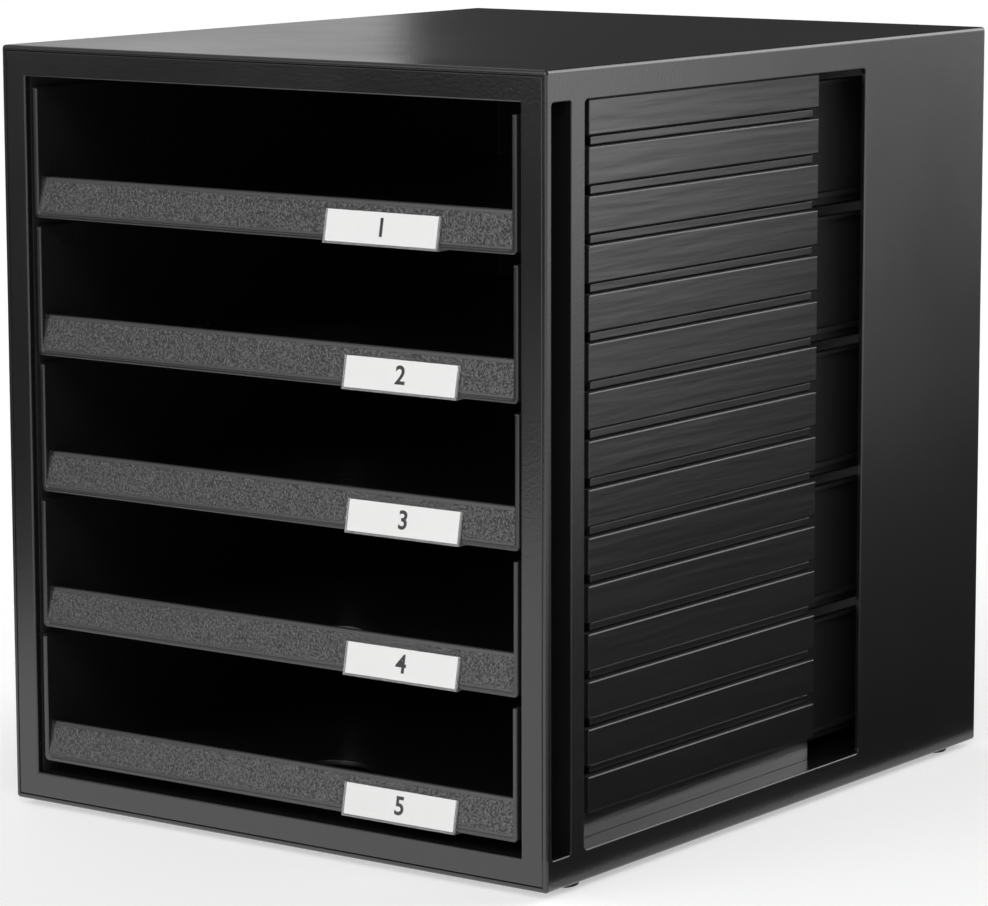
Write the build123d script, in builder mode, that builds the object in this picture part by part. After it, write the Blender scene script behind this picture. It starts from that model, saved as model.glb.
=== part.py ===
import os
from math import cos, radians, sin, tan

from build123d import *

# Desktop drawer organizer: a box with five open letter drawers, ribbed runner panels in its side windows.
# X runs across the front, -Y is the front, +Z is up, and the origin lies under the middle of the feet.

# Overall size
WIDTH = 275.0
DEPTH = 330.0
HEIGHT = 320.0

# Casing: a sleeve with an inner floor and an inner roof
WALL = 2.0
OUTER_EDGE = 1.6
END_EDGE = 1.2
FRAME_WIDTH = 12.5
DECK = 2.0
WEB = 1.6
WEB_COUNT = 4

# Slot and window in each side, measured from the front
SLOT_START = 3.0
SLOT_LENGTH = 13.1
POST_LENGTH = 8.9
WINDOW_LENGTH = 204.9
POST_RETURN = 1.6
SLOT_CORNER = 1.5
WINDOW_CORNER = 2.0
SIDE_EDGE = 0.5

# Front frame and back panel, let into the ends of the sleeve
FRAME_THICKNESS = 3.0
BACK_THICKNESS = 2.4
SEAM = 0.2
SEAM_BEVEL = 0.4
OPENING_EDGE = 0.8
TONGUE_WIDTH = 16.0
TONGUE_LENGTH = 10.0
TONGUE = 1.6

# Ribbed runner panels
RIBS_PER_DRAWER = 3
RIB_HEIGHT = 14.5
RIB_FACE_DEPTH = 8.5
GROOVE_FACE_DEPTH = 11.4
SHEET = 1.5
PANEL_START = 40.0
PANEL_LENGTH = 167.0
SLIT_DEPTH = 1.0
UPPER_SLIT = 0.9
LOWER_SLIT = 0.35
BAR_EDGE = 0.3
NOTCH_LENGTH = 5.2
PLINTH = 10.3
TOP_MARGIN = 0.5
RIB_EDGE = 0.5
END_WALL = 1.5
TENON_LENGTH = 12.0
TENON_COUNT = 3

# Runners inside the panels
LEDGE = 2.0
LEDGE_RISE = 9.6
KEEPER = 3.0
KEEPER_GAP = 0.5
KEEPER_LENGTH = 36.0

# Drawers
RUNNING_GAP = 0.3
SEAT_GAP = 0.2
DRAWER_GAP = 3.8
DRAWER_WALL = 2.4
DRAWER_FLOOR = 2.0
DRAWER_CORNER = 2.2
INNER_CORNER = 1.2
FRONT_EDGE = 0.7
FLANGE = 1.9
FLANGE_THICKNESS = 2.0
FLANGE_RISE = 4.5
FLANGE_START = 2.5
RIM_THICKNESS = 1.4
LIP_HEIGHT = 17.1
LIP_THICKNESS = 2.2
LIP_LEAN = 11.0
LIP_STEP = 0.15
LIP_EDGE = 0.9
HOLE_RADIUS = 16.4
HOLE_FROM_FRONT = 50.0
HOLE_OFFSET = -9.0
HOLE_EDGE = 0.4
STOP_LENGTH = 4.0
STOP_RISE = 2.9
STOP_INSET = 4.0

# How far each drawer front stands behind the casing front, top drawer first, and when pushed home
RECESSES = (1.5, 2.2, 2.9, 1.9, 1.3)
HOME_RECESS = 3.2

# Label holders, clipped under the lips, and their cards
LABEL_WIDTH = 56.0
LABEL_HEIGHT = 13.6
LABEL_DROP = 0.9
LABEL_FROM_SIDE = (80.0, 71.7, 71.3, 71.9, 72.7)
HOLDER_GAP = 0.05
HOLDER_BACK = 0.4
HOLDER_RIM = 0.35
RIM_WIDTH = 0.8
HOOK = 0.8
HOOK_LENGTH = 6.0
CARD = 0.28
CARD_GAP = 0.15

# Feet
FOOT_HEIGHT = 2.8
FOOT_RADIUS = 7.0
FOOT_EDGE = 1.2
FOOT_FROM_SIDE = 11.0
FOOT_FROM_FRONT = 25.0
FOOT_FROM_REAR = 20.0
STEM_RADIUS = 2.5
HEAD_RADIUS = 3.3
HEAD_HEIGHT = 1.2

# Places worked out from the sizes
front = -DEPTH / 2
rear = DEPTH / 2
side = WIDTH / 2
shell_height = HEIGHT - FOOT_HEIGHT
shell_middle = FOOT_HEIGHT + shell_height / 2
hall_floor = FOOT_HEIGHT + FRAME_WIDTH
hall_roof = HEIGHT - FRAME_WIDTH
hall_height = hall_roof - hall_floor
hollow_height = FRAME_WIDTH - WALL - DECK
inside_width = WIDTH - 2 * WALL

drawer_count = len(RECESSES)
rib_count = RIBS_PER_DRAWER * drawer_count
first_rib = hall_floor + PLINTH
rib_pitch = (hall_height - PLINTH - TOP_MARGIN - RIB_HEIGHT) / (rib_count - 1)
rib_lows = [first_rib + index * rib_pitch for index in range(rib_count)]
rib_highs = [low + RIB_HEIGHT for low in rib_lows[:-1]] + [hall_roof]
rib_spans = list(zip(rib_lows, rib_highs))
groove_spans = list(zip(rib_highs, rib_lows[1:]))
drawer_pitch = RIBS_PER_DRAWER * rib_pitch
panel_front = front + PANEL_START
panel_rear = panel_front + PANEL_LENGTH
rib_face = side - RIB_FACE_DEPTH
groove_face = side - GROOVE_FACE_DEPTH
rail_face = groove_face - SHEET
channel_face = rib_face - SHEET

flange_tip = rail_face - RUNNING_GAP
drawer_side = flange_tip - FLANGE
ledge_tip = drawer_side + RUNNING_GAP
drawer_height = drawer_pitch - DRAWER_GAP
drawer_length = DEPTH - BACK_THICKNESS - HOME_RECESS - RUNNING_GAP
drawer_inner = drawer_side - DRAWER_WALL

ledge_tops = [hall_floor + LEDGE_RISE + index * drawer_pitch for index in range(drawer_count)]
slot_rear = front + SLOT_START + SLOT_LENGTH
window_start = SLOT_START + SLOT_LENGTH + POST_LENGTH
liner_front = front + FRAME_THICKNESS + SEAM
bay_pitch = (inside_width + WEB) / (WEB_COUNT + 1)

os.makedirs("parts", exist_ok=True)


def save(piece, label):
    piece.part.label = label
    export_step(piece.part, f"parts/{label}.step")


def bay_heights():
    """Heights of the two flat hollows between the decks and the outer walls."""
    lower = FOOT_HEIGHT + WALL + hollow_height / 2
    return lower, HEIGHT - WALL - hollow_height / 2


def tenon_outlines(plane_height, clearance):
    """Outlines of the tenons that locate both runner panels in the decks, at one height."""
    with BuildSketch(Plane.XY.offset(plane_height)) as outlines:
        with Locations((0, panel_front + PANEL_LENGTH / 2)):
            with GridLocations(2 * groove_face - SHEET, PANEL_LENGTH / TENON_COUNT, 2, TENON_COUNT):
                Rectangle(SHEET + clearance, TENON_LENGTH + clearance)
    return outlines.sketch


def tongue_outlines(plane_y):
    """Outlines of the flat tongues that plug an end piece into the bays of both hollows."""
    tongue_offset = hollow_height / 2 - TONGUE / 2 - SEAM
    lower, upper = bay_heights()
    with BuildSketch(Plane.XZ.offset(-plane_y)) as outlines:
        for height in (lower + tongue_offset, upper - tongue_offset):
            with Locations((0, height)):
                with GridLocations(bay_pitch, 1, WEB_COUNT + 1, 1):
                    Rectangle(TONGUE_WIDTH, TONGUE)
    return outlines.sketch


def label_plane(bottom, recess, centre, lift):
    """Plane on a drawer's leaning lip, with its origin level with the drawer's underside."""
    slope = radians(LIP_LEAN)
    foot_y = front + recess + LIP_STEP - DRAWER_FLOOR * tan(slope)
    lip_plane = Plane((centre, foot_y, bottom), x_dir=(1, 0, 0), z_dir=(0, -cos(slope), sin(slope)))
    return lip_plane.offset(lift)


# Casing shell
with BuildPart() as casing_shell:
    # One section makes the outer walls, both decks and the webs between them
    with BuildSketch(Plane.XZ.offset(-rear)):
        with Locations((0, shell_middle)):
            RectangleRounded(WIDTH, shell_height, OUTER_EDGE)
            Rectangle(inside_width, hall_height, mode=Mode.SUBTRACT)
        for height in bay_heights():
            with Locations((0, height)):
                with GridLocations(bay_pitch, 1, WEB_COUNT + 1, 1):
                    Rectangle(bay_pitch - WEB, hollow_height, mode=Mode.SUBTRACT)
    extrude(amount=DEPTH)
    end_faces = casing_shell.faces().sort_by(Axis.Y)
    fillet(end_faces[0].outer_wire().edges() + end_faces[-1].outer_wire().edges(), END_EDGE)
    # Rebates that take the front frame and the back panel
    with BuildSketch(Plane.XZ.offset(-front - FRAME_THICKNESS)):
        with Locations((0, shell_middle)):
            Rectangle(inside_width, shell_height - 2 * WALL)
    extrude(amount=FRAME_THICKNESS, mode=Mode.SUBTRACT)
    with BuildSketch(Plane.XZ.offset(-rear)):
        with Locations((0, shell_middle)):
            Rectangle(inside_width, shell_height - 2 * WALL)
    extrude(amount=BACK_THICKNESS, mode=Mode.SUBTRACT)
    # Slot and window through both sides
    with BuildSketch(Plane.YZ):
        with Locations((front + SLOT_START + SLOT_LENGTH / 2, shell_middle)):
            RectangleRounded(SLOT_LENGTH, hall_height, SLOT_CORNER)
        with Locations((front + window_start + WINDOW_LENGTH / 2, shell_middle)):
            RectangleRounded(WINDOW_LENGTH, hall_height, WINDOW_CORNER)
    extrude(amount=WIDTH, both=True, mode=Mode.SUBTRACT)
    side_faces = casing_shell.faces().filter_by(Axis.X).group_by(Axis.X)
    for face in side_faces[0] + side_faces[-1]:
        for wire in face.inner_wires():
            fillet(wire.edges(), SIDE_EDGE)
    # Returns that run in behind the rear edges of the slots
    return_width = side - WALL - groove_face - SEAM
    with BuildSketch(Plane.XY.offset(hall_floor)):
        with Locations((0, slot_rear + POST_RETURN / 2)):
            with GridLocations(2 * (side - WALL) - return_width, 1, 2, 1):
                Rectangle(return_width, POST_RETURN)
    extrude(amount=hall_height)
    for height in (hall_floor - DECK, hall_roof):
        extrude(tenon_outlines(height, 2 * SEAM), amount=DECK, mode=Mode.SUBTRACT)
    # Holes for the stems of the feet
    for x in (-side + FOOT_FROM_SIDE, side - FOOT_FROM_SIDE):
        for y in (front + FOOT_FROM_FRONT, rear - FOOT_FROM_REAR):
            with Locations((x, y, FOOT_HEIGHT + WALL)):
                Hole(STEM_RADIUS, depth=WALL)
save(casing_shell, "casing_shell")

# Front frame
with BuildPart() as front_frame:
    with BuildSketch(Plane.XZ.offset(-front - FRAME_THICKNESS)):
        with Locations((0, shell_middle)):
            Rectangle(inside_width - 2 * SEAM, shell_height - 2 * WALL - 2 * SEAM)
            Rectangle(WIDTH - 2 * FRAME_WIDTH, hall_height, mode=Mode.SUBTRACT)
    extrude(amount=FRAME_THICKNESS)
    face = front_frame.faces().sort_by(Axis.Y)[0]
    chamfer(face.outer_wire().edges(), SEAM_BEVEL)
    face = front_frame.faces().sort_by(Axis.Y)[0]
    fillet(face.inner_wires()[0].edges(), OPENING_EDGE)
    extrude(tongue_outlines(front + FRAME_THICKNESS), amount=-TONGUE_LENGTH)
save(front_frame, "front_frame")

# Back panel
with BuildPart() as back_panel:
    with BuildSketch(Plane.XZ.offset(-rear)):
        with Locations((0, shell_middle)):
            Rectangle(inside_width - 2 * SEAM, shell_height - 2 * WALL - 2 * SEAM)
    extrude(amount=BACK_THICKNESS)
    face = back_panel.faces().sort_by(Axis.Y)[-1]
    chamfer(face.outer_wire().edges(), SEAM_BEVEL)
    extrude(tongue_outlines(rear - BACK_THICKNESS), amount=TONGUE_LENGTH)
save(back_panel, "back_panel")


def make_panel(hand):
    """Runner panel behind one side window: ribs outside, channels, ledges and keepers inside."""
    with BuildPart() as panel:
        sheet_middle = hand * (groove_face + rail_face) / 2
        with BuildSketch(Plane.XZ.offset(-panel_rear)):
            with Locations((sheet_middle, (hall_floor + hall_roof) / 2)):
                Rectangle(SHEET, hall_height)
            # Each rib is a step out of the sheet with a channel behind it
            for low, high in rib_spans:
                with Locations((hand * (rib_face + rail_face) / 2, (low + high) / 2)):
                    Rectangle(rib_face - rail_face, high - low)
                with Locations((hand * (channel_face + rail_face - SHEET) / 2, (low + high) / 2)):
                    Rectangle(channel_face - rail_face + SHEET, high - low - 2 * SHEET, mode=Mode.SUBTRACT)
            # Two slits in each groove leave a bar between them
            for low, high in groove_spans:
                for slit_low, slit_high in ((low, low + LOWER_SLIT), (high - UPPER_SLIT, high)):
                    with Locations((hand * (groove_face - SLIT_DEPTH / 2), (slit_low + slit_high) / 2)):
                        Rectangle(SLIT_DEPTH, slit_high - slit_low, mode=Mode.SUBTRACT)
        extrude(amount=PANEL_LENGTH)
        # Walls that close the front ends of the channels
        with BuildSketch(Plane.XZ.offset(-panel_front - END_WALL)):
            for low, high in rib_spans:
                with Locations((hand * (rib_face + rail_face) / 2, (low + high) / 2)):
                    Rectangle(rib_face - rail_face, high - low)
        extrude(amount=END_WALL)
        # A notch before the front end of each bar
        with BuildSketch(Plane.XZ.offset(-panel_front - NOTCH_LENGTH)):
            for low, high in groove_spans:
                with Locations((sheet_middle, (low + high) / 2)):
                    Rectangle(SHEET, high - low)
        extrude(amount=NOTCH_LENGTH, mode=Mode.SUBTRACT)
        rib_faces = panel.faces().filter_by(Axis.X).group_by(Axis.X)[0 if hand < 0 else -1]
        rib_edges = rib_faces.edges().filter_by(lambda edge: edge.center().Z < hall_roof - SHEET)
        fillet(rib_edges, RIB_EDGE)
        bar_faces = panel.faces().filter_by(Axis.X).filter_by(
            lambda face: abs(hand * face.center().X - groove_face) < SEAM and face.center().Z > first_rib
        )
        fillet(bar_faces.edges(), BAR_EDGE)
        # The sheet runs on behind the post and the slot, up to the front frame
        with BuildSketch(Plane.XZ.offset(-panel_front)):
            with Locations((sheet_middle, (hall_floor + hall_roof) / 2)):
                Rectangle(SHEET, hall_height)
        extrude(amount=panel_front - liner_front)
        # A ledge for each drawer's flange, and a keeper over it that holds the drawer level
        with BuildSketch(Plane.XZ.offset(-panel_rear)):
            for level in ledge_tops:
                with Locations((hand * (rail_face + ledge_tip) / 2, level - LEDGE / 2)):
                    Rectangle(rail_face - ledge_tip, LEDGE)
        extrude(amount=PANEL_LENGTH - NOTCH_LENGTH)
        with BuildSketch(Plane.XZ.offset(-panel_front - KEEPER_LENGTH)):
            for level in ledge_tops:
                keeper_low = level + FLANGE_THICKNESS + KEEPER_GAP
                with Locations((hand * (channel_face + ledge_tip) / 2, keeper_low + KEEPER / 2)):
                    Rectangle(channel_face - ledge_tip, KEEPER)
        extrude(amount=KEEPER_LENGTH)
        extrude(tenon_outlines(hall_floor - DECK, 0), amount=DECK)
        extrude(tenon_outlines(hall_roof, 0), amount=DECK)
        split(bisect_by=Plane.YZ, keep=Keep.TOP if hand > 0 else Keep.BOTTOM)
    return panel


for hand, name in ((-1, "left"), (1, "right")):
    save(make_panel(hand), f"runner_panel_{name}")


def make_drawer(bottom, recess):
    """Open letter drawer: floor, two walls, a back, a low leaning lip and side flanges."""
    drawer_front = front + recess
    drawer_rear = drawer_front + drawer_length
    top = bottom + drawer_height
    with BuildPart() as drawer:
        # Floor and side walls
        with BuildSketch(Plane.XZ.offset(-drawer_rear)) as trough:
            with Locations((0, bottom + drawer_height / 2)):
                Rectangle(2 * drawer_side, drawer_height)
            fillet(trough.vertices().group_by(Axis.Y)[0], DRAWER_CORNER)
            with Locations((0, bottom + DRAWER_FLOOR + drawer_height / 2)):
                RectangleRounded(2 * drawer_inner, drawer_height, INNER_CORNER, mode=Mode.SUBTRACT)
        extrude(amount=drawer_length)
        fillet(drawer.faces().sort_by(Axis.Y)[0].edges(), FRONT_EDGE)
        # Back wall
        with BuildSketch(Plane.XZ.offset(-drawer_rear)):
            with Locations((0, bottom + drawer_height / 2)):
                Rectangle(2 * drawer_inner, drawer_height)
        extrude(amount=DRAWER_WALL)
        # Runner flanges and rims outside the walls
        with BuildSketch(Plane.XZ.offset(-drawer_rear)):
            with Locations((0, bottom + FLANGE_RISE + FLANGE_THICKNESS / 2)):
                Rectangle(2 * flange_tip, FLANGE_THICKNESS)
            with Locations((0, top - RIM_THICKNESS / 2)):
                Rectangle(2 * flange_tip, RIM_THICKNESS)
            with Locations((0, bottom + drawer_height / 2)):
                Rectangle(2 * drawer_side, drawer_height, mode=Mode.SUBTRACT)
        extrude(amount=drawer_length - FLANGE_START)
        # Tabs at the rear of the flanges that meet the keepers when the drawer is fully out
        with BuildSketch(Plane.XY.offset(bottom + FLANGE_RISE + FLANGE_THICKNESS)):
            with Locations((0, drawer_rear - STOP_INSET - STOP_LENGTH / 2)):
                with GridLocations(drawer_side + flange_tip, 1, 2, 1):
                    Rectangle(FLANGE, STOP_LENGTH)
        extrude(amount=STOP_RISE)
        # Leaning lip
        lean = (LIP_HEIGHT - DRAWER_FLOOR) * tan(radians(LIP_LEAN))
        with BuildSketch(Plane.YZ.offset(-drawer_inner)) as lip:
            with BuildLine():
                Polyline(
                    (drawer_front + LIP_STEP, bottom + DRAWER_FLOOR),
                    (drawer_front + LIP_STEP + lean, bottom + LIP_HEIGHT),
                    (drawer_front + LIP_STEP + lean + LIP_THICKNESS, bottom + LIP_HEIGHT),
                    (drawer_front + LIP_STEP + LIP_THICKNESS, bottom + DRAWER_FLOOR),
                    close=True,
                )
            make_face()
            fillet(lip.vertices().group_by(Axis.Y)[-1], LIP_EDGE)
        extrude(amount=2 * drawer_inner)
        # Finger hole in the floor
        with Locations((HOLE_OFFSET, drawer_front + HOLE_FROM_FRONT, bottom + DRAWER_FLOOR)):
            Hole(HOLE_RADIUS, depth=DRAWER_FLOOR)
        hole_rim = drawer.edges().filter_by(GeomType.CIRCLE).filter_by(
            lambda edge: abs(edge.radius - HOLE_RADIUS) < HOLE_EDGE
        )
        fillet(hole_rim.sort_by(Axis.Z)[-1], HOLE_EDGE)
    return drawer


def make_holder(bottom, recess, centre):
    """Label holder: a shallow pocket on the lip with a leg that hooks under the drawer."""
    drawer_front = front + recess
    with BuildPart() as holder:
        with BuildSketch(label_plane(bottom, recess, centre, HOLDER_GAP)):
            with Locations((0, LABEL_HEIGHT / 2 - LABEL_DROP)):
                Rectangle(LABEL_WIDTH, LABEL_HEIGHT)
        extrude(amount=HOLDER_BACK + HOLDER_RIM)
        with BuildSketch(label_plane(bottom, recess, centre, HOLDER_GAP + HOLDER_BACK)):
            with Locations((0, LABEL_HEIGHT / 2 - LABEL_DROP + RIM_WIDTH)):
                Rectangle(LABEL_WIDTH - 2 * RIM_WIDTH, LABEL_HEIGHT)
        extrude(amount=HOLDER_RIM, mode=Mode.SUBTRACT)
        leg_front = drawer_front - HOOK
        with BuildSketch(Plane.XY.offset(bottom - HOOK)):
            with Locations((centre, leg_front + HOOK_LENGTH / 2)):
                Rectangle(LABEL_WIDTH, HOOK_LENGTH)
        extrude(amount=HOOK)
    return holder


def make_card(bottom, recess, centre):
    """Paper card in the pocket of a label holder."""
    with BuildPart() as card:
        with BuildSketch(label_plane(bottom, recess, centre, HOLDER_GAP + HOLDER_BACK)):
            card_height = LABEL_HEIGHT - RIM_WIDTH - 2 * CARD_GAP
            with Locations((0, RIM_WIDTH + CARD_GAP - LABEL_DROP + card_height / 2)):
                Rectangle(LABEL_WIDTH - 2 * RIM_WIDTH - 2 * CARD_GAP, card_height)
        extrude(amount=CARD)
    return card


for index, recess in enumerate(RECESSES):
    ledge = ledge_tops[drawer_count - 1 - index]
    number = index + 1
    bottom = ledge + SEAT_GAP - FLANGE_RISE
    centre = side - LABEL_FROM_SIDE[index]
    save(make_drawer(bottom, recess), f"drawer_{number}")
    save(make_holder(bottom, recess, centre), f"label_holder_{number}")
    save(make_card(bottom, recess, centre), f"label_card_{number}")

# Feet with stems pulled through the bottom of the casing
for x, across in ((-side + FOOT_FROM_SIDE, "left"), (side - FOOT_FROM_SIDE, "right")):
    for y, along in ((front + FOOT_FROM_FRONT, "front"), (rear - FOOT_FROM_REAR, "rear")):
        with BuildPart() as foot:
            with BuildSketch(Plane((x, y, 0), x_dir=(1, 0, 0), z_dir=(0, -1, 0))) as outline:
                with Locations((FOOT_RADIUS / 2, FOOT_HEIGHT / 2)):
                    Rectangle(FOOT_RADIUS, FOOT_HEIGHT)
                outer_corner = outline.vertices().sort_by(Axis.Y)[:2].sort_by(Axis.X)[-1]
                fillet(outer_corner, FOOT_EDGE)
                with Locations((STEM_RADIUS / 2, FOOT_HEIGHT + WALL / 2)):
                    Rectangle(STEM_RADIUS, WALL)
                with Locations((HEAD_RADIUS / 2, FOOT_HEIGHT + WALL + HEAD_HEIGHT / 2)):
                    Rectangle(HEAD_RADIUS, HEAD_HEIGHT)
            revolve(axis=Axis((x, y, 0), (0, 0, 1)))
        save(foot, f"foot_{along}_{across}")
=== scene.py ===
from math import cos, pi, radians, sin

import bpy
from mathutils import Matrix, Vector


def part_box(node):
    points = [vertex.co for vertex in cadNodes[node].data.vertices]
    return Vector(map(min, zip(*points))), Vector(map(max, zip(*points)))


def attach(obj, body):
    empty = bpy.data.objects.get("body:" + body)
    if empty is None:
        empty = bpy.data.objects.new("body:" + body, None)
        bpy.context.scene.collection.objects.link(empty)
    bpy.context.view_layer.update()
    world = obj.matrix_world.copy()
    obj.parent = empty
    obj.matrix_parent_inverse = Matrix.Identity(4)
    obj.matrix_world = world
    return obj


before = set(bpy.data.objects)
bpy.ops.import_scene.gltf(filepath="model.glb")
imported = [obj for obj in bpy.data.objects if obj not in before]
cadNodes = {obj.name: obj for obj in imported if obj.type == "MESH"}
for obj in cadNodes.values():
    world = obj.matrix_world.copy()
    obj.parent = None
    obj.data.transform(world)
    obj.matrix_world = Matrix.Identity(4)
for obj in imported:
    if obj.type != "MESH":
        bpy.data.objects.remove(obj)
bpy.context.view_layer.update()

bpy.ops.object.select_all(action="DESELECT")
print("frame loaded with", len(cadNodes), "solids")


# camera, at the photograph's viewing angle
camera = {
    "place": (1.0661, -1.4737, 0.4313),
    "turn": radians(36.077),     # about the vertical, to the left of straight ahead
    "tilt": radians(-9.065),
    "roll": radians(-0.141),
    "lens": 156.2,
    "farClip": 100,
}


def makeCamera(c):
    bpy.ops.object.camera_add()
    shot = bpy.context.object
    shot.name = "photoCamera"
    turned = Matrix.Rotation(c["turn"], 4, "Z") @ Matrix.Rotation(pi / 2 + c["tilt"], 4, "X")
    shot.matrix_world = Matrix.Translation(c["place"]) @ turned @ Matrix.Rotation(c["roll"], 4, "Z")
    shot.data.lens = c["lens"]
    shot.data.clip_end = c["farClip"]
    bpy.context.scene.camera = shot


makeCamera(camera)
print("camera set")


# node helpers
def put(tree, kind, values=None, **wires):
    made = tree.nodes.new(kind)
    for key, value in (values or {}).items():
        if key in made.inputs:
            made.inputs[key].default_value = value
        else:
            setattr(made, key, value)
    for key, source in wires.items():
        tree.links.new(source, made.inputs[key])
    return made


def feed(tree, socket, value):
    if isinstance(value, bpy.types.NodeSocket):
        tree.links.new(value, socket)
    else:
        socket.default_value = value


def calc(tree, operation, first, second=0.0):
    made = put(tree, "ShaderNodeMath", {"operation": operation})
    feed(tree, made.inputs[0], first)
    feed(tree, made.inputs[1], second)
    return made.outputs[0]


def within(tree, value, low, high):
    above = calc(tree, "GREATER_THAN", value, low)
    return calc(tree, "MULTIPLY", above, calc(tree, "LESS_THAN", value, high))


# a Mix node's two inputs and its result, by their place among its sockets
mixSockets = {"FLOAT": (2, 3, 0), "RGBA": (6, 7, 2)}


def mix(tree, kind, factor, first, second):
    made = put(tree, "ShaderNodeMix", {"data_type": kind}, Factor=factor)
    firstIn, secondIn, result = mixSockets[kind]
    feed(tree, made.inputs[firstIn], first)
    feed(tree, made.inputs[secondIn], second)
    return made.outputs[result]


def split(tree, place):
    return put(tree, "ShaderNodeSeparateXYZ", Vector=place).outputs


def noise(tree, place, scale, stretch=(1, 1, 1), detail=2.0):
    mapped = put(tree, "ShaderNodeMapping", {"Scale": stretch}, Vector=place)
    values = {"Scale": scale, "Detail": detail}
    return put(tree, "ShaderNodeTexNoise", values, Vector=mapped.outputs[0]).outputs[0]


# a factor from start to end becomes low to high; noise lies mostly from 0.3 to 0.7
def between(tree, factor, low, high, start=0.3, end=0.7):
    values = {"From Min": start, "From Max": end, "To Min": low, "To Max": high}
    return put(tree, "ShaderNodeMapRange", values, Value=factor).outputs[0]


def raised(tree, height, depth, under=None):
    wires = {"Height": height}
    if under is not None:
        wires["Normal"] = under
    return put(tree, "ShaderNodeBump", {"Strength": 1.0, "Distance": depth}, **wires).outputs[0]


def startMaterial(name):
    material = bpy.data.materials.new(name)
    material.use_nodes = True
    tree = material.node_tree
    place = tree.nodes.new("ShaderNodeTexCoord").outputs["Object"]
    return material, tree, tree.nodes["Principled BSDF"], place


# colour and roughness that follow one pattern
def dress(tree, shader, pattern, m):
    color = mix(tree, "RGBA", pattern, (*m["dark"], 1), (*m["light"], 1))
    tree.links.new(color, shader.inputs["Base Color"])
    tree.links.new(between(tree, pattern, *m["rough"]), shader.inputs["Roughness"])


# another colour or roughness laid over what the shader has, where the mask is 1
def coverColor(tree, shader, mask, color):
    socket = shader.inputs["Base Color"]
    tree.links.new(mix(tree, "RGBA", mask, socket.links[0].from_socket, (*color, 1)), socket)


def coverRough(tree, shader, mask, rough):
    socket = shader.inputs["Roughness"]
    tree.links.new(mix(tree, "FLOAT", mask, socket.links[0].from_socket, rough), socket)


# moulded black plastics: colour, gloss patches, slow waves, fine grain and the radius that rounds
# the edges in the shading
casingPlastic = {
    "dark": (0.0085, 0.0086, 0.009), "light": (0.0125, 0.0126, 0.013),
    "rough": (0.15, 0.21), "patchScale": 11, "patchStretch": (1, 1, 1),
    "waveScale": 26, "waveStretch": (1, 1, 1), "waveDepth": 0.00008,
    "grainScale": 750, "grainDepth": 0.00004, "edge": 0.0005,
}
runnerPlastic = {
    "dark": (0.0085, 0.0086, 0.009), "light": (0.012, 0.0121, 0.0125),
    "rough": (0.15, 0.24), "patchScale": 1, "patchStretch": (30, 9, 420),
    "waveScale": 1, "waveStretch": (30, 16, 200), "waveDepth": 0.00016,
    "grainScale": 1800, "grainDepth": 0.0000018, "edge": 0.0005,
}
drawerPlastic = {
    "dark": (0.011, 0.0111, 0.0116), "light": (0.017, 0.0171, 0.0176),
    "rough": (0.2, 0.28), "patchScale": 14, "patchStretch": (1, 1, 1),
    "waveScale": 30, "waveStretch": (1, 1, 1), "waveDepth": 0.00006,
    "grainScale": 1500, "grainDepth": 0.000003, "edge": 0.0005,
}
polystyrene = {"refraction": 1.59, "patchDetail": 4, "edgeSamples": 4}


def makePlastic(name, p):
    material, tree, shader, place = startMaterial(name)
    patches = noise(tree, place, p["patchScale"], p["patchStretch"], polystyrene["patchDetail"])
    dress(tree, shader, patches, p)
    waves = noise(tree, place, p["waveScale"], p["waveStretch"])
    grain = noise(tree, place, p["grainScale"])
    rounding = {"samples": polystyrene["edgeSamples"], "Radius": p["edge"]}
    rounded = put(tree, "ShaderNodeBevel", rounding).outputs[0]
    surface = raised(tree, grain, p["grainDepth"], raised(tree, waves, p["waveDepth"], rounded))
    tree.links.new(surface, shader.inputs["Normal"])
    shader.inputs["IOR"].default_value = polystyrene["refraction"]
    return material, tree, shader, place, surface


# deep places painted near black and rough as painted shade: their distance from the middle, low and
# high
runnerShadedDepths = {"slits": (0.0, 0.1258), "steps": (0.12635, 0.12845)}
drawerShadedDepths = {"flanks": (0.1222, 0.13)}
paintedShade = {"color": (0.0016, 0.0016, 0.0017), "rough": 0.95, "flankRough": 0.75}


def makeDull(tree, shader, place, depths, rough):
    across = calc(tree, "ABSOLUTE", split(tree, place)["X"])
    mask = 0.0
    for low, high in depths.values():
        mask = calc(tree, "MAXIMUM", within(tree, across, low, high), mask)
    # painted shade: near-black colour and high roughness over the masked places
    coverColor(tree, shader, mask, paintedShade["color"])
    coverRough(tree, shader, mask, rough)


# in the shading the ribs lean outwards towards the top and bow along their length, round a middle;
# above the top rib the panel is painted near black, a painted shadow in the gap under the window's
# top edge
ribForm = {"lean": 0.021, "middle": -0.06, "bow": 0.16, "shadowAt": 0.3059}


def makeRunnerPlastic():
    material, tree, shader, place, surface = makePlastic("runnerBlack", runnerPlastic)
    f = ribForm
    axes = split(tree, place)
    along = calc(tree, "SUBTRACT", axes["Y"], f["middle"])
    bowed = calc(tree, "MULTIPLY", calc(tree, "MULTIPLY", along, along), f["bow"])
    form = calc(tree, "SUBTRACT", calc(tree, "MULTIPLY", axes["Z"], f["lean"]), bowed)
    tree.links.new(raised(tree, form, 1.0, surface), shader.inputs["Normal"])
    # painted shade in the slits and steps between the ribs and over the panel's inner side
    makeDull(tree, shader, place, runnerShadedDepths, paintedShade["rough"])
    # painted shadow: near black above the top rib
    paintedShadowAtTop = calc(tree, "GREATER_THAN", axes["Z"], f["shadowAt"])
    coverColor(tree, shader, paintedShadowAtTop, paintedShade["color"])
    coverRough(tree, shader, paintedShadowAtTop, paintedShade["rough"])
    return material


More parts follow.
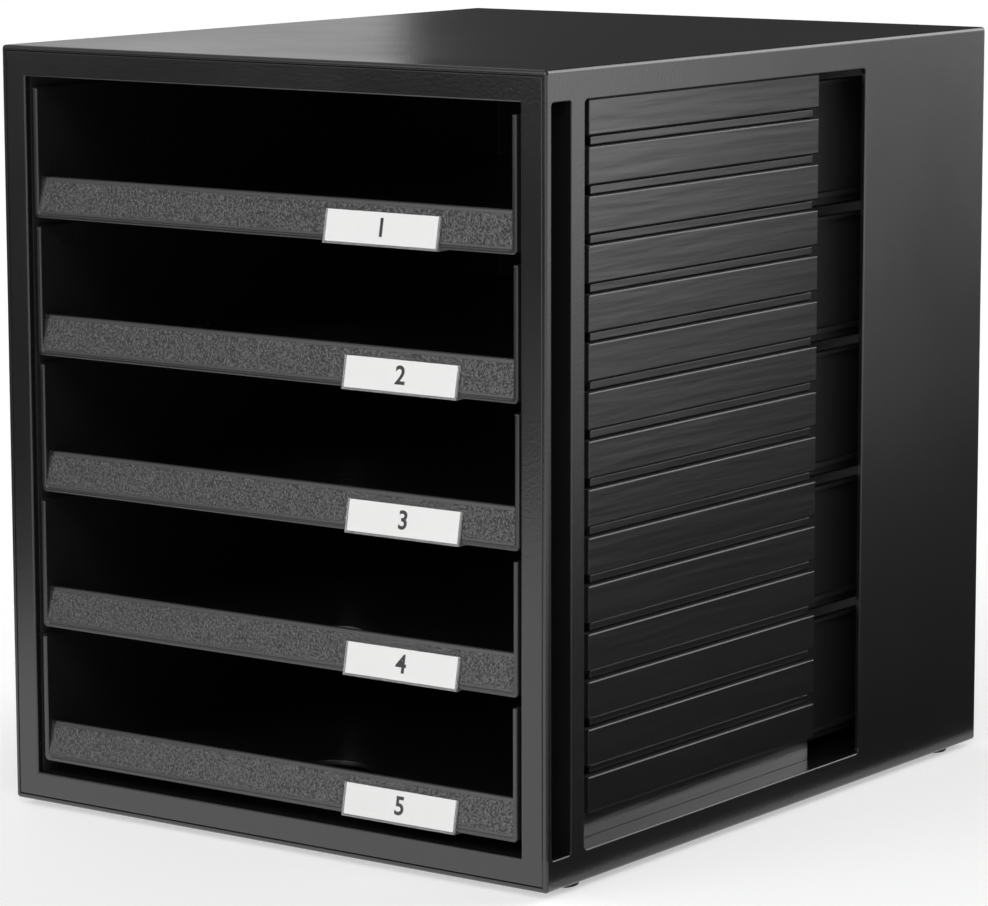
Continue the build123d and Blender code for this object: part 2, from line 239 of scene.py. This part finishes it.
# the lips have a coarse blasted grain over the part above the smooth bottom edge;
# "from" and "to" are heights over a drawer's underside
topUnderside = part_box("drawer_1")[0].z
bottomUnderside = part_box("drawer_5")[0].z
drawerPitch = (topUnderside - bottomUnderside) / 4
lipGrain = {
    "from": 0.0030, "to": 0.0152, "back": -0.158, "half": 0.1198,
    "scale": 1120, "detail": 3, "depth": 0.0002,
    "rough": (0.8, 0.2), "roughAt": (0.40, 0.52),
    "speck": (0.06, 0.06, 0.061), "speckAt": (0.5, 0.62),
}


def makeDrawerPlastic():
    material, tree, shader, place, surface = makePlastic("drawerBlack", drawerPlastic)
    g = lipGrain
    axes = split(tree, place)
    rise = calc(tree, "MODULO", calc(tree, "SUBTRACT", axes["Z"], bottomUnderside), drawerPitch)
    inFront = calc(tree, "LESS_THAN", axes["Y"], g["back"])
    onLip = calc(tree, "LESS_THAN", calc(tree, "ABSOLUTE", axes["X"]), g["half"])
    mask = calc(tree, "MULTIPLY", within(tree, rise, g["from"], g["to"]),
                calc(tree, "MULTIPLY", inFront, onLip))
    pits = noise(tree, place, g["scale"], detail=g["detail"])
    height = calc(tree, "MULTIPLY", mask, pits)
    tree.links.new(raised(tree, height, g["depth"], surface), shader.inputs["Normal"])
    specks = calc(tree, "MULTIPLY", mask, between(tree, pits, 0, 1, *g["speckAt"]))
    coverColor(tree, shader, specks, g["speck"])
    coverRough(tree, shader, mask, between(tree, pits, *g["rough"], *g["roughAt"]))
    # painted shade on the drawers' outer flanks and rims, which lie in shade inside the casing
    makeDull(tree, shader, place, drawerShadedDepths, paintedShade["flankRough"])
    return material


# clear, slightly hazy label holder
clearHolder = {
    "color": (0.86, 0.87, 0.88, 1), "rough": (0.12, 0.24), "through": 0.8,
    "refraction": 1.49, "hazeScale": 240, "hazeDetail": 3,
}


def makeHolderPlastic(h):
    material, tree, shader, place = startMaterial("holderClear")
    shader.inputs["Base Color"].default_value = h["color"]
    shader.inputs["Transmission Weight"].default_value = h["through"]
    shader.inputs["IOR"].default_value = h["refraction"]
    haze = noise(tree, place, h["hazeScale"], detail=h["hazeDetail"])
    tree.links.new(between(tree, haze, *h["rough"]), shader.inputs["Roughness"])
    return material


# matt white card, printed digits and rubber, each with a speck that colours and roughens it
whiteCard = {
    "dark": (0.83, 0.83, 0.82), "light": (0.9, 0.9, 0.895), "rough": (0.55, 0.75),
    "scale": 2600, "depth": 0.000004,
}
printInk = {
    "dark": (0.014, 0.014, 0.015), "light": (0.03, 0.03, 0.032), "rough": (0.4, 0.6),
    "scale": 1800, "depth": 0.000002,
}
footRubber = {
    "dark": (0.008, 0.008, 0.008), "light": (0.016, 0.016, 0.016), "rough": (0.6, 0.85),
    "scale": 900, "depth": 0.00002,
}
speckDetail = 4


def makeMatt(name, m):
    material, tree, shader, place = startMaterial(name)
    speck = noise(tree, place, m["scale"], detail=speckDetail)
    dress(tree, shader, speck, m)
    tree.links.new(raised(tree, speck, m["depth"]), shader.inputs["Normal"])
    return material


finishes = {
    "casing": makePlastic("casingBlack", casingPlastic)[0],
    "runner": makeRunnerPlastic(),
    "drawer": makeDrawerPlastic(),
    "holder": makeHolderPlastic(clearHolder),
    "card": makeMatt("cardWhite", whiteCard),
    "ink": makeMatt("printInk", printInk),
    "foot": makeMatt("footRubber", footRubber),
}
finishOf = {
    "casing_shell": "casing", "front_frame": "casing", "back_panel": "casing",
    "runner_panel": "runner", "drawer_": "drawer", "label_holder": "holder",
    "label_card": "card", "foot_": "foot",
}
for name, solid in cadNodes.items():
    finish = next(finishOf[start] for start in finishOf if name.startswith(start))
    solid.data.materials.clear()
    solid.data.materials.append(finishes[finish])
print("finishes on", len(cadNodes), "solids")


# printed digits that lie on the leaning cards
digits = {
    "height": 0.0074, "capShare": 0.72,     # a capital's share of the font's size
    "weight": 0.00022, "thickness": 0.00002, "curveSteps": 6, "merge": 0.000004,
    "cardHalf": 0.00014, "lean": radians(11),
}


def makeDigit(number, d):
    low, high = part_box(f"label_card_{number}")
    middle = (low + high) / 2
    outward = Vector((0, -cos(d["lean"]), sin(d["lean"])))
    bpy.ops.object.select_all(action="DESELECT")
    bpy.ops.object.text_add(location=(0, 0, 0))
    digit = bpy.context.object
    digit.data.body = str(number)
    digit.data.size = d["height"] / d["capShare"]
    digit.data.align_x = "CENTER"
    digit.data.align_y = "CENTER"
    digit.data.offset = d["weight"]
    digit.data.extrude = d["thickness"]
    digit.data.resolution_u = d["curveSteps"]
    bpy.ops.object.convert(target="MESH")
    digit = bpy.context.object
    digit.name = f"label_digit_{number}"
    front = middle + outward * (d["cardHalf"] + d["thickness"])
    digit.matrix_world = Matrix.Translation(front) @ Matrix.Rotation(pi / 2 - d["lean"], 4, "X")
    bpy.ops.object.transform_apply(location=True, rotation=True, scale=True)
    bpy.ops.object.mode_set(mode="EDIT")
    bpy.ops.mesh.select_all(action="SELECT")
    bpy.ops.mesh.remove_doubles(threshold=d["merge"])
    bpy.ops.mesh.normals_make_consistent(inside=False)
    bpy.ops.object.mode_set(mode="OBJECT")
    digit.data.materials.clear()
    digit.data.materials.append(finishes["ink"])
    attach(digit, f"drawer_body_{number}")


for number in range(1, 6):
    makeDigit(number, digits)
print("digits on the cards")


# floor: white paper, lifted towards full white for the camera, gloss and glass
white = (1, 1, 1, 1)
floorSheet = {"size": 40, "color": (0.82, 0.82, 0.82, 1), "rough": 0.9, "gloss": 0.1, "lift": 0.42}


def makeFloor(f):
    bpy.ops.mesh.primitive_plane_add(size=f["size"])
    floor = bpy.context.object
    floor.name = "floor"
    material, tree, shader = startMaterial("floorPaper")[:3]
    shader.inputs["Base Color"].default_value = f["color"]
    shader.inputs["Roughness"].default_value = f["rough"]
    shader.inputs["Specular IOR Level"].default_value = f["gloss"]
    shader.inputs["Emission Color"].default_value = white
    rays = tree.nodes.new("ShaderNodeLightPath").outputs
    seen = calc(tree, "MAXIMUM", rays["Is Camera Ray"],
                calc(tree, "MAXIMUM", rays["Is Glossy Ray"], rays["Is Transmission Ray"]))
    tree.links.new(calc(tree, "MULTIPLY", seen, f["lift"]), shader.inputs["Emission Strength"])
    floor.data.materials.append(material)


# studio room: white to the camera and through glass; all else sees a dim room with soft panels,
# each a direction, its radiance and the angles in degrees where it starts to fade and where it ends
room = {
    "seen": 1.0, "dim": 0.05,
    "panels": {
        "frontPanel": {"toward": (-0.23, -0.957, 0.174), "level": 2.35, "full": 17, "gone": 29},
        "rearPanel": {"toward": (0.60, 0.78, 0.16), "level": 1.2, "full": 10, "gone": 30},
        "backPanel": {"toward": (0.36, 0.80, 0.48), "level": 3.0, "full": 14, "gone": 28},
        "sidePanel": {"toward": (0.93, -0.34, 0.12), "level": 0.8, "full": 10, "gone": 20},
        "leftWall": {"toward": (-0.7965, -0.6046, 0.0), "level": 0.5, "full": 89.6, "gone": 90.2},
    },
}


def makeRoom(r):
    world = bpy.data.worlds.new("studioRoom")
    bpy.context.scene.world = world
    world.use_nodes = True
    tree = world.node_tree
    sky = tree.nodes["Background"]
    sky.inputs["Color"].default_value = white
    toward = tree.nodes.new("ShaderNodeTexCoord").outputs["Generated"]
    total = r["dim"]
    for panel in r["panels"].values():
        lined = put(tree, "ShaderNodeVectorMath", {"operation": "DOT_PRODUCT"})
        feed(tree, lined.inputs[0], toward)
        feed(tree, lined.inputs[1], Vector(panel["toward"]).normalized())
        edges = {"interpolation_type": "SMOOTHSTEP", "From Min": cos(radians(panel["gone"])),
                 "From Max": cos(radians(panel["full"])), "To Min": 0, "To Max": panel["level"]}
        glow = put(tree, "ShaderNodeMapRange", edges, Value=lined.outputs["Value"]).outputs[0]
        total = calc(tree, "ADD", glow, total)
    rays = tree.nodes.new("ShaderNodeLightPath").outputs
    seen = calc(tree, "MAXIMUM", rays["Is Camera Ray"], rays["Is Transmission Ray"])
    tree.links.new(mix(tree, "FLOAT", seen, total, r["seen"]), sky.inputs["Strength"])


# glowing flag cards just above the floor, in front of the object and to its right, that paint the
# reflections in its gloss: only gloss sees them
flags = {
    "frontFlag": {"low": (-9, -9), "high": (1.6, -0.15), "height": 0.001},
    "rightFlag": {"low": (0.15, -0.7), "high": (9, 14), "height": 0.001},
}
hiddenFrom = ("camera", "diffuse", "transmission", "shadow", "volume_scatter")


def makeFlag(name):
    f = flags[name]
    bpy.ops.mesh.primitive_plane_add(size=1)
    flag = bpy.context.object
    flag.name = name
    flag.location = [(a + b) / 2 for a, b in zip(f["low"], f["high"])] + [f["height"]]
    flag.scale = [b - a for a, b in zip(f["low"], f["high"])] + [1]
    bpy.ops.object.transform_apply(location=True, rotation=True, scale=True)
    for ray in hiddenFrom:
        setattr(flag, "visible_" + ray, False)
    material, tree, shader, place = startMaterial(name + "Cloth")
    shader.inputs["Base Color"].default_value = (0, 0, 0, 1)
    shader.inputs["Specular IOR Level"].default_value = 0
    # the card glows: its emission is the painted reflection that gloss sees
    shader.inputs["Emission Color"].default_value = white
    flag.data.materials.append(material)
    return tree, shader, split(tree, place)


# the front flag is dark on the left and turns light over a short way
frontShade = {"from": -0.55, "to": -0.33, "dark": 0.04, "light": 1.4}


def makeFrontFlag(f):
    tree, shader, axes = makeFlag("frontFlag")
    level = between(tree, axes["X"], f["dark"], f["light"], f["from"], f["to"])
    tree.links.new(level, shader.inputs["Emission Strength"])


# the right flag grows lighter away from the object, with greys at shares of a reach;
# a slanted line crosses it, near which that light fades, and far behind which some is added
rightShade = {
    "reach": 2.5, "level": 2.1,
    "greys": {0.08: 0.02, 0.21: 0.08, 0.29: 0.24, 0.40: 0.35, 0.60: 0.62, 0.88: 0.96},
    "slope": 1.43, "start": -0.34,
    "fade": (1.25, 0.33), "fadeAt": (-0.25, 0.62),
    "behind": 0.7, "behindAt": (1.4, 2.4),
}


def makeRightFlag(r):
    tree, shader, axes = makeFlag("rightFlag")
    away = between(tree, axes["X"], 0, 1, 0, r["reach"])
    ramp = put(tree, "ShaderNodeValToRGB", Fac=away)
    for share, grey in r["greys"].items():
        stop = ramp.color_ramp.elements.new(share)
        stop.color = (grey, grey, grey, 1)
    aside = calc(tree, "SUBTRACT", calc(tree, "SUBTRACT", axes["Y"], r["start"]),
                 calc(tree, "MULTIPLY", axes["X"], r["slope"]))
    fade = between(tree, aside, *r["fade"], *r["fadeAt"])
    behind = between(tree, aside, 0, r["behind"], *r["behindAt"])
    light = calc(tree, "ADD", calc(tree, "MULTIPLY", ramp.outputs[0], fade), behind)
    tree.links.new(calc(tree, "MULTIPLY", light, r["level"]), shader.inputs["Emission Strength"])


# one soft key lamp from the front right
keyLamp = {"toLamp": (0.50, -0.62, 0.62), "level": 0.6, "spread": radians(24)}


def makeKey(k):
    bpy.ops.object.light_add(type="SUN")
    lamp = bpy.context.object
    lamp.name = "keyLamp"
    lamp.rotation_euler = Vector(k["toLamp"]).to_track_quat("Z", "Y").to_euler()
    lamp.data.energy = k["level"]
    lamp.data.angle = k["spread"]


makeFloor(floorSheet)
makeRoom(room)
makeFrontFlag(frontShade)
makeRightFlag(rightShade)
makeKey(keyLamp)
bpy.context.scene.view_settings.view_transform = "Standard"
print("floor, room, flags and lamp set")
